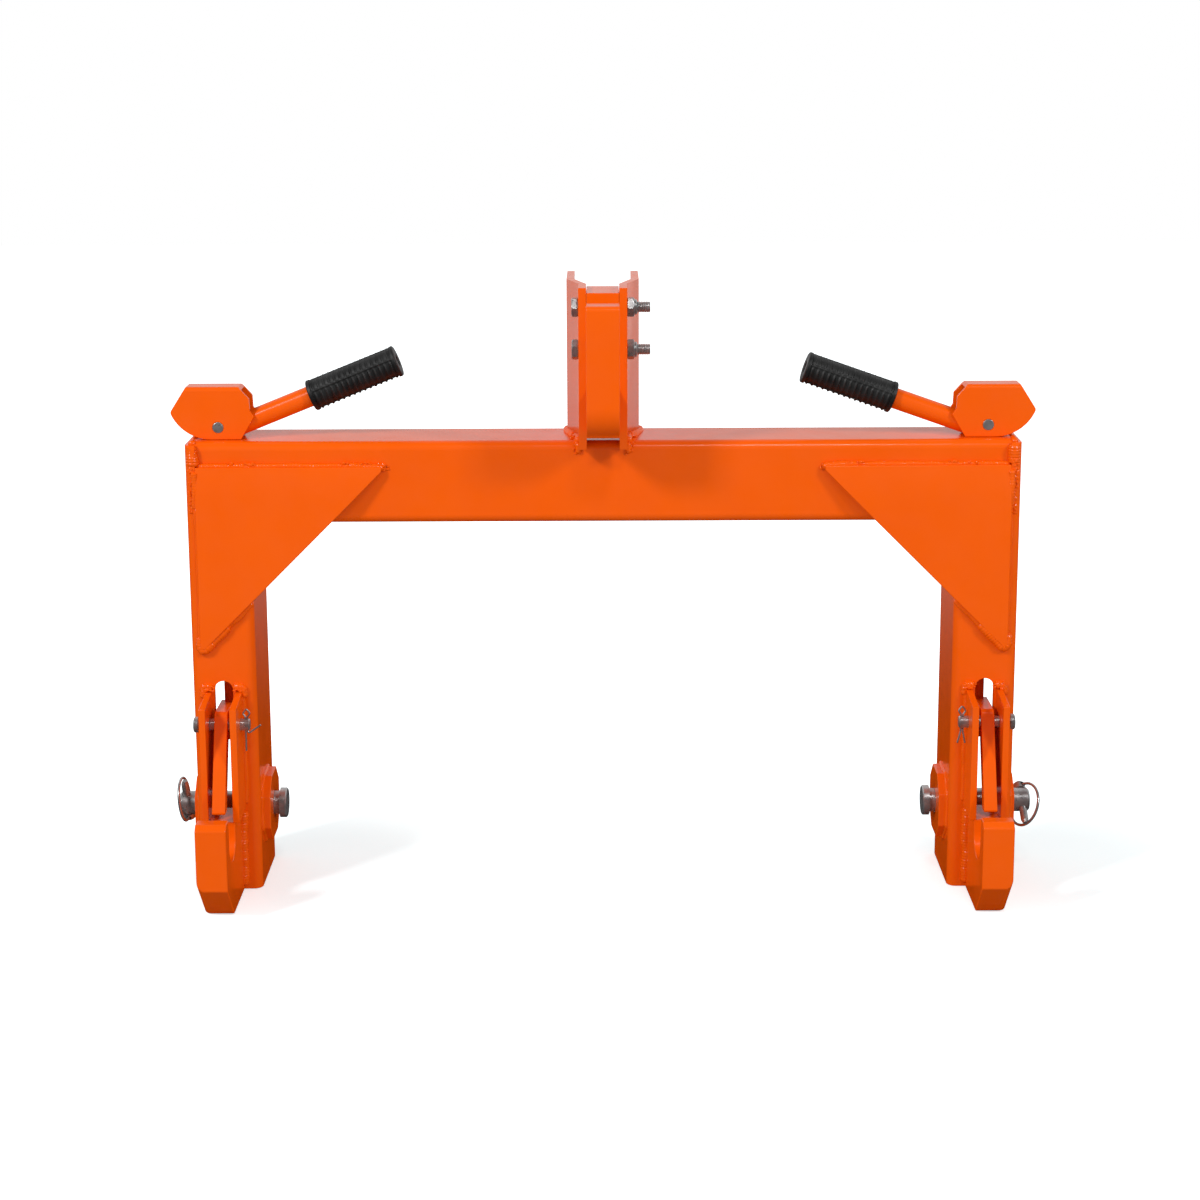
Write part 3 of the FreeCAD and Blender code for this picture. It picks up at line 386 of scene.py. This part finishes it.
# ---------------------------------------------------------------- rubber grips
GRIP_RIBS = 15
RIB_RISE = 1.2 * MM
GRIP_ROOT = 13.3 * MM
GRIP_RIM = 14.5 * MM
RIM_WIDTH = 3.5 * MM
GRIP_HOLE = 5.0 * MM
GRIP_BORE = 9.55 * MM
GRIP_END_WALL = 3.5 * MM
MOULD_LINES = (0.36, 1.6, 2.8, 4.2, 5.3)   # angles of the raised lengthwise lines
LINE_HALF, LINE_GAP = 0.09, 0.22   # half a line's width and where the ribs are whole again, in radians
RIB_POWER = 1.6                    # above one leaves the valleys wider than the ribs


def axis_of(node):
    """Start and end of a round node's axis, from its lower end to its upper."""
    points = np.array([v.co for v in frame["nodes"][node].data.vertices])
    middle = (points.min(0) + points.max(0)) / 2
    _, vectors = np.linalg.eigh(np.cov((points - middle).T))
    along = vectors[:, 2]
    along = along if along[2] > 0 else -along
    across = [vectors[:, 0], vectors[:, 1]]
    reach = (points - middle) @ along
    for direction in across:
        spread = (points - middle) @ direction
        middle = middle + direction * (spread.max() + spread.min()) / 2
    start, end = middle + along * reach.min(), middle + along * reach.max()
    return Vector(start), Vector(end)


def grip_radius(along, angle, length):
    """Outer radius of the grip at a place along it and round it."""
    if along < RIM_WIDTH or along > length - RIM_WIDTH:
        edge = min(along, length - along)
        return GRIP_RIM - 0.8 * MM * max(0, 1 - edge / (0.9 * MM)) ** 2
    share = (along - RIM_WIDTH) / (length - 2 * RIM_WIDTH) * GRIP_RIBS
    rib = max(0, math.cos(2 * math.pi * (share - 0.5))) ** RIB_POWER
    nearest = min(abs((angle - line + math.pi) % (2 * math.pi) - math.pi) for line in MOULD_LINES)
    line = max(0, 1 - nearest / LINE_HALF)
    rib *= 0.2 + 0.8 * min(1, nearest / LINE_GAP)
    return GRIP_ROOT + RIB_RISE * max(rib, 0.9 * line)


def grip(side):
    """A sleeve with rings, raised mould lines, a rolled rim at each end and a holed end."""
    start, end = axis_of(f"grip_{side}")
    along = (end - start).normalized()
    length = (end - start).length
    turn = along.to_track_quat("Z", "Y").to_matrix().to_4x4()
    place = Matrix.Translation(start) @ turn
    steps, rows = 96, GRIP_RIBS * 8 + 12
    bm = bmesh.new()

    def ring(z, radius_of):
        made = []
        for k in range(steps):
            a = 2 * math.pi * k / steps
            r = radius_of(a)
            made.append(bm.verts.new(place @ Vector((r * math.cos(a), r * math.sin(a), z))))
        return made

    rings = [ring(z, lambda a, z=z: grip_radius(z, a, length))
             for z in (length * i / rows for i in range(rows + 1))]
    rings.append(ring(length, lambda a: GRIP_HOLE + 0.5 * MM))
    rings.append(ring(length - 0.5 * MM, lambda a: GRIP_HOLE))
    rings.append(ring(length - GRIP_END_WALL, lambda a: GRIP_HOLE))
    rings.append(ring(length - GRIP_END_WALL, lambda a: GRIP_BORE))
    rings.append(ring(0, lambda a: GRIP_BORE))
    rings.append(rings[0])
    skin(bm, rings)
    add_piece(f"grip_{side}_ribbed", bm, "grip_rubber", f"handle_{side}", f"grip_{side}", 50)


for side in SIDES:
    grip(side)


# ---------------------------------------------------------------- welds
beam_low, beam_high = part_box("crossbeam")
face, top = beam_low.y, beam_high.z


def spatter(bm, path, count, size, seed):
    """Small drops thrown beside a weld, half sunk in the plate."""
    spread = 2.5 * MM
    chance = random.Random(seed)
    for _ in range(count):
        part = chance.randrange(len(path) - 1)
        spot = Vector(path[part]).lerp(Vector(path[part + 1]), chance.random())
        spot += Vector([chance.uniform(-spread, spread), 0, chance.uniform(-spread, spread)])
        stretch = Matrix.Diagonal((chance.uniform(0.7, 1.4), 0.6, chance.uniform(0.7, 1.4))).to_4x4()
        bmesh.ops.create_icosphere(bm, subdivisions=2, radius=size * chance.uniform(0.5, 1.0),
                                   matrix=Matrix.Translation(spot) @ stretch)


# Radii in millimetres, by the joint that a bead fills.
GUSSET_BEADS = {"foot": 3.9, "slope": 2.9, "side": 2.2, "corner": 3.2, "crest": 2.7, "tip": 3.4}
HOOK_BEAD, EAR_BEAD, EAR_CROWN_BEAD, BOSS_BEAD = 4.8, 2.6, 3.5, 2.2
BEAM_TOP_BEAD, BEAM_FRONT_BEAD, BEAM_UNDER_BEAD = 3.2, 5.0, 2.4
MAST_BEAD, MAST_FRONT_BEAD = 3.6, 2.8
DROP = 1.4 * MM
BOSS_INSET = 16 * MM               # the bosses' cut corners, as in the CAD
MAST_FOOT = 21.7 * MM              # outer face of a mast plate where it meets the beam's front


def weld(name, runs, seed, drops=()):
    """Beads given as (path, radius) in one piece, with drops given as (path, count)."""
    bm = bmesh.new()
    for index, (path, radius) in enumerate(runs):
        bead(bm, [Vector(p) for p in path], radius * MM, seed + index * 1.37)
    add_piece(name, bm, "orange_paint", "frame", smooth_angle=60)
    if not drops:
        return
    bm = bmesh.new()
    for index, (path, count) in enumerate(drops):
        spatter(bm, path, count, DROP, 100 * seed + index)
    add_piece(name.replace("weld", "spatter"), bm, "orange_paint", "frame", smooth_angle=5)


def on_side(sign):
    """Gives places by millimetres off three named planes, mirrored to one side."""
    def at(x, y, z):
        return (sign * x[0] + sign * x[1] * MM, y[0] + y[1] * MM, z[0] + z[1] * MM)
    return at


def reach(sign, name):
    """How near and how far a piece goes from the middle on its side."""
    low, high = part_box(name)
    return sorted((sign * low.x, sign * high.x))


def gusset_welds(side, sign, at, front, inner):
    """Round the gusset: up the slope from its foot, up its side, and along its crest to the tip."""
    low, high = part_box(f"gusset_{side}")
    tip, lip = reach(sign, f"gusset_{side}")
    foot, crest = low.z, high.z
    rise = lip - inner - 4 * MM
    sizes = GUSSET_BEADS
    weld(f"weld_gusset_{side}", [
        ([at((lip, 0.4), (front, -1.2), (foot, 12)), at((lip, 0.4), (front, -1.2), (foot, 2)),
          at((lip, -1.5), (front, -1.6), (foot, -1)), at((lip, -5), (front, -1.6), (foot, -0.5)),
          at((lip - rise * 0.5, -4), (front, -1.2), (foot + rise * 0.5, -1))], sizes["foot"]),
        ([at((lip - rise * 0.4, -4), (front, -0.8), (foot + rise * 0.4, -1)),
          at((lip - rise, -4), (front, -0.6), (foot + rise, -1))], sizes["slope"]),
        ([at((lip, 0), (front, -0.5), (foot, 8)), at((lip, 0), (front, -0.5), (crest, -36))], sizes["side"]),
        ([at((lip, 0), (front, -0.8), (crest, -38)), at((lip, 0.5), (front, 0), (crest, -4))],
         sizes["corner"]),
        ([at((lip, -1), (face, -1), (crest, 0.3)), at((tip, 24), (face, -1), (crest, 0.3))], sizes["crest"]),
        ([at((tip, 30), (face, -1), (crest, 0.3)), at((tip, 1), (face, -1), (crest, -1)),
          at((tip, 0), (face, -1.5), (crest, -4))], sizes["tip"]),
    ], 3 + sign, [
        ([at((lip, 3), (front, -0.2), (crest, -44)), at((lip, 3.5), (front, -0.2), (crest, 2))], 60),
        ([at((lip, -26), (face, -3.6), (crest, 1)), at((lip, -62), (face, -3.6), (crest, 1))], 26),
        ([at((tip, 34), (face, -3.6), (crest, 1.5)), at((tip, 8), (face, -3.6), (crest, 1.5))], 22),
        ([at((tip, 3), (face, -3.4), (crest, 0)), at((tip, -4), (face, -0.4), (crest, -2))], 16),
    ])


def hook_welds(side, sign, front):
    """Down both sides of the hook, where it meets the leg."""
    low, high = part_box(f"lower_hook_{side}")
    weld(f"weld_hook_{side}", [
        ([(x, front, low.z + 4 * MM), (x, front, high.z - 18 * MM)], HOOK_BEAD) for x in (low.x, high.x)
    ], 6 + sign)


def ear_welds(name, away, front, seed):
    """Up the outside of one latch ear and over its top, with drops on the crown."""
    low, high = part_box(f"latch_ear_{name}")
    x = high.x if away > 0 else low.x
    crown = high.z + 4 * MM
    over = [(x + away * 2 * MM, front, high.z - 6 * MM), (x + away * 1 * MM, front, crown - 2 * MM),
            (x - away * 2 * MM, front, crown), (x - away * 8 * MM, front, crown)]
    weld(f"weld_ear_{name}", [
        ([(x, front, low.z + 4 * MM), (x, front, high.z - 2 * MM)], EAR_BEAD), (over, EAR_CROWN_BEAD),
    ], seed, [([(px, front - 3.2 * MM, pz) for px, _, pz in over[1:]], 26)])


def boss_weld(name, x, seed):
    """Round an eight-sided boss, on the leg's face at X."""
    low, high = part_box(f"pin_boss_{name}")
    middle = (low + high) / 2
    half = (high.y - low.y) / 2
    flat = half - BOSS_INSET
    corners = [(half, flat), (flat, half), (-flat, half), (-half, flat),
               (-half, -flat), (-flat, -half), (flat, -half), (half, -flat), (half, flat)]
    weld(f"weld_boss_{name}", [([(x, middle.y + a, middle.z + b) for a, b in corners], BOSS_BEAD)], seed)


def beam_welds(side, sign, at, inner):
    """Across the beam's end on top, down its front corner, and under it at the leg."""
    end, rear = reach(sign, "crossbeam")[1], (beam_high.y, -4)
    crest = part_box(f"gusset_{side}")[1].z
    weld(f"weld_beam_{side}", [
        ([at((end, 0), (face, 1), (top, -2)), at((end, 0), rear, (top, -2))], BEAM_TOP_BEAD),
        ([at((end, -1), (face, -1), (top, -3)), at((end, -1), (face, -1), (crest, 0))], BEAM_FRONT_BEAD),
        ([at((inner, 0), (face, 8), (beam_low.z, 0)), at((inner, 0), rear, (beam_low.z, 0))],
         BEAM_UNDER_BEAD),
    ], 17 + sign)


def mast_welds(side, sign, at):
    """Along the outside of a mast plate on the beam, and a little way down the beam's front."""
    outside = reach(sign, f"mast_plate_{side}")[1]
    near = MAST_FOOT
    weld(f"weld_mast_{side}", [
        ([at((near, 0.5), (face, 0), (top, 0.5)), at((near, 1), (face, 12), (top, 0.5)),
          at((outside, 0.5), (face, 50), (top, 0)), at((outside, 0), (beam_high.y, -9), (top, 0))],
         MAST_BEAD),
        ([at((near, 0.8), (face, -0.6), (top, -11)), at((near, 0.8), (face, 0), (top, -1))], MAST_FRONT_BEAD),
    ], 21 + sign, [
        ([at((near, 3.5), (face, -0.2), (top, -4)), at((near, 1), (face, -0.2), (top, -10))], 20),
        ([at((near, 5), (face, 6), (top, 1.5)), at((near, 6), (face, 28), (top, 1))], 24),
    ])


for side, sign in SIDES.items():
    at = on_side(sign)
    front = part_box(f"leg_{side}")[0].y
    inner, outer = reach(sign, f"leg_{side}")
    gusset_welds(side, sign, at, front, inner)
    hook_welds(side, sign, front)
    for which, away, x in (("inner", -sign, inner), ("outer", sign, outer)):
        ear_welds(f"{which}_{side}", away, front, 9 + sign + away)
        boss_weld(f"{which}_{side}", sign * x, 13 + sign + away)
    beam_welds(side, sign, at, inner)
    mast_welds(side, sign, at)


# ---------------------------------------------------------------- floor, lights and camera
def light_path(nodes, name, other=None):
    """One where a ray is of either kind, and nought elsewhere."""
    kinds = nodes.new("ShaderNodeLightPath").outputs
    return maths(nodes, "MAXIMUM", kinds[name], kinds[other or name])


def maths(nodes, operation, first, second=None, clamp=False):
    made = nodes.new("ShaderNodeMath")
    made.operation = operation
    made.use_clamp = clamp
    for socket, value in zip(made.inputs, (first, second)):
        if isinstance(value, bpy.types.NodeSocket):
            nodes.id_data.links.new(value, socket)
        elif value is not None:
            socket.default_value = value
    return made.outputs[0]


def fade(nodes, value, start, end, low=0.0, high=1.0):
    """Runs smoothly from low to high while the value goes from start to end."""
    made = nodes.new("ShaderNodeMapRange")
    made.interpolation_type = "SMOOTHSTEP"
    nodes.id_data.links.new(value, made.inputs["Value"])
    for name, amount in (("From Min", start), ("From Max", end), ("To Min", low), ("To Max", high)):
        made.inputs[name].default_value = amount
    return made.outputs["Result"]


# The white backdrop is behind the hitch and above it: what shines sees it there.
AMBIENT_LOW, AMBIENT_HIGH = 0.75, 0.25
HORIZON, ZENITH = 0.1, 0.9
BACKDROP, BACKDROP_EDGE, BACKDROP_FULL = 0.72, -0.25, 0.75
world = bpy.data.worlds.new("studio")
bpy.context.scene.world = world
world.use_nodes = True
nodes = world.node_tree.nodes
direction = nodes.new("ShaderNodeSeparateXYZ")
world.node_tree.links.new(nodes.new("ShaderNodeTexCoord").outputs["Generated"], direction.inputs[0])
backdrop = fade(nodes, direction.outputs["Y"], BACKDROP_EDGE, BACKDROP_FULL, 0.0, BACKDROP)
shown = maths(nodes, "MULTIPLY", light_path(nodes, "Is Glossy Ray", "Is Transmission Ray"), backdrop)
plain = light_path(nodes, "Is Diffuse Ray")
soft = fade(nodes, direction.outputs["Z"], HORIZON, ZENITH, AMBIENT_LOW, AMBIENT_HIGH)
lit = maths(nodes, "ADD", maths(nodes, "MULTIPLY", plain, soft), shown)
strength = maths(nodes, "MAXIMUM", lit, light_path(nodes, "Is Camera Ray"))
world.node_tree.links.new(strength, nodes["Background"].inputs["Strength"])
nodes["Background"].inputs["Color"].default_value = (1, 1, 1, 1)


def white_floor():
    """White to the eye but for a soft shadow round each foot; shiny faces see it white far behind."""
    look, tree, shader = new_material("white_floor")
    nodes = tree.nodes
    apart = nodes.new("ShaderNodeSeparateXYZ")
    tree.links.new(nodes.new("ShaderNodeTexCoord").outputs["Object"], apart.inputs[0])
    across = maths(nodes, "SUBTRACT", apart.outputs["X"], SHADOW_X)
    aside = maths(nodes, "SUBTRACT", maths(nodes, "ABSOLUTE", across), FOOT_X)
    ahead = maths(nodes, "SUBTRACT", apart.outputs["Y"], FOOT_Y)
    away = maths(nodes, "SQRT", maths(nodes, "ADD", maths(nodes, "MULTIPLY", aside, aside),
                                      maths(nodes, "MULTIPLY", ahead, ahead)))
    eye = light_path(nodes, "Is Camera Ray")
    shiny = light_path(nodes, "Is Glossy Ray", "Is Transmission Ray")
    # the camera sees the floor in a painted cyan tint, which cancels the orange light bounced into the
    # shadows round the feet
    seen = ramp(tree, eye, FLOOR_TONE, FLOOR_SEEN, 0.0, 1.0)
    dull = nodes.new("ShaderNodeVectorMath")
    dull.operation = "SCALE"
    tree.links.new(seen, dull.inputs[0])
    tree.links.new(maths(nodes, "SUBTRACT", 1.0, shiny), dull.inputs["Scale"])
    tree.links.new(dull.outputs[0], shader.inputs["Base Color"])
    shader.inputs["Roughness"].default_value = 0.9
    shader.inputs["Specular IOR Level"].default_value = 0.0
    far_off = fade(nodes, away, SHADOW_START, SHADOW_END, FLOOR_GLOW, 1.0)
    far_behind = fade(nodes, apart.outputs["Y"], BEHIND_START, BEHIND_END, 0.0, BACKDROP)
    glow = maths(nodes, "ADD", maths(nodes, "MULTIPLY", eye, far_off),
                 maths(nodes, "MULTIPLY", shiny, far_behind))
    tree.links.new(glow, shader.inputs["Emission Strength"])
    shader.inputs["Emission Color"].default_value = (1, 1, 1, 1)
    return look


FOOT_X, FOOT_Y = 0.35, 0.05        # middle of each foot on the floor
SHADOW_X = 0.08                    # the shadows fall to the right of the feet
SHADOW_START, SHADOW_END = 0.06, 0.34
BEHIND_START, BEHIND_END = 0.4, 3.0
FLOOR_TONE = grey(0.55)            # as the hitch sees it
FLOOR_SEEN = (0.80, 0.92, 0.94, 1)  # as the camera sees it: a painted cyan tint that cancels the orange light the paint bounces onto the floor
FLOOR_GLOW = 0.42
floor_mesh = bpy.data.meshes.new("floor")
bm = bmesh.new()
bmesh.ops.create_grid(bm, x_segments=8, y_segments=8, size=6)
bm.to_mesh(floor_mesh)
bm.free()
floor = bpy.data.objects.new("floor", floor_mesh)
floor.location.z = -0.0005
bpy.context.scene.collection.objects.link(floor)
floor_mesh.materials.append(white_floor())


def area_light(name, spot, target, size, watts):
    data = bpy.data.lights.new(name, "AREA")
    data.shape = "SQUARE"
    data.size = size
    data.energy = watts
    made = bpy.data.objects.new(name, data)
    made.location = spot
    made.rotation_euler = (Vector(target) - Vector(spot)).to_track_quat("-Z", "Y").to_euler()
    bpy.context.scene.collection.objects.link(made)


LAMPS = {                          # place, side of the square, watts
    "key": ((-2.3, -2.0, 2.4), 0.5, 61),
    "fill": ((2.6, -2.0, 2.2), 0.5, 44),
    "top": ((0.4, -2.1, 2.7), 0.3, 10),
}
for name, (spot, size, watts) in LAMPS.items():
    area_light(name, spot, (0, 0, 0.3), size, watts)

camera_data = bpy.data.cameras.new("camera")
camera = bpy.data.objects.new("camera", camera_data)
bpy.context.scene.collection.objects.link(camera)
bpy.context.scene.camera = camera
camera_data.sensor_width = 36
camera_data.lens = 71.3
camera_data.shift_x = -0.0028
camera_data.shift_y = -0.099
camera_data.clip_start, camera_data.clip_end = 0.05, 50
CAMERA_AWAY, CAMERA_HEIGHT = 2.1, 0.81
PITCH, ROLL = math.radians(11.4), math.radians(-0.22)
leg_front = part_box("leg_left")[0].y
camera.location = (0, leg_front - CAMERA_AWAY, CAMERA_HEIGHT)
tilt = Matrix.Rotation(math.pi / 2 - PITCH, 3, "X") @ Matrix.Rotation(ROLL, 3, "Z")
camera.rotation_euler = tilt.to_euler()
bpy.context.scene.view_settings.view_transform = "Standard"
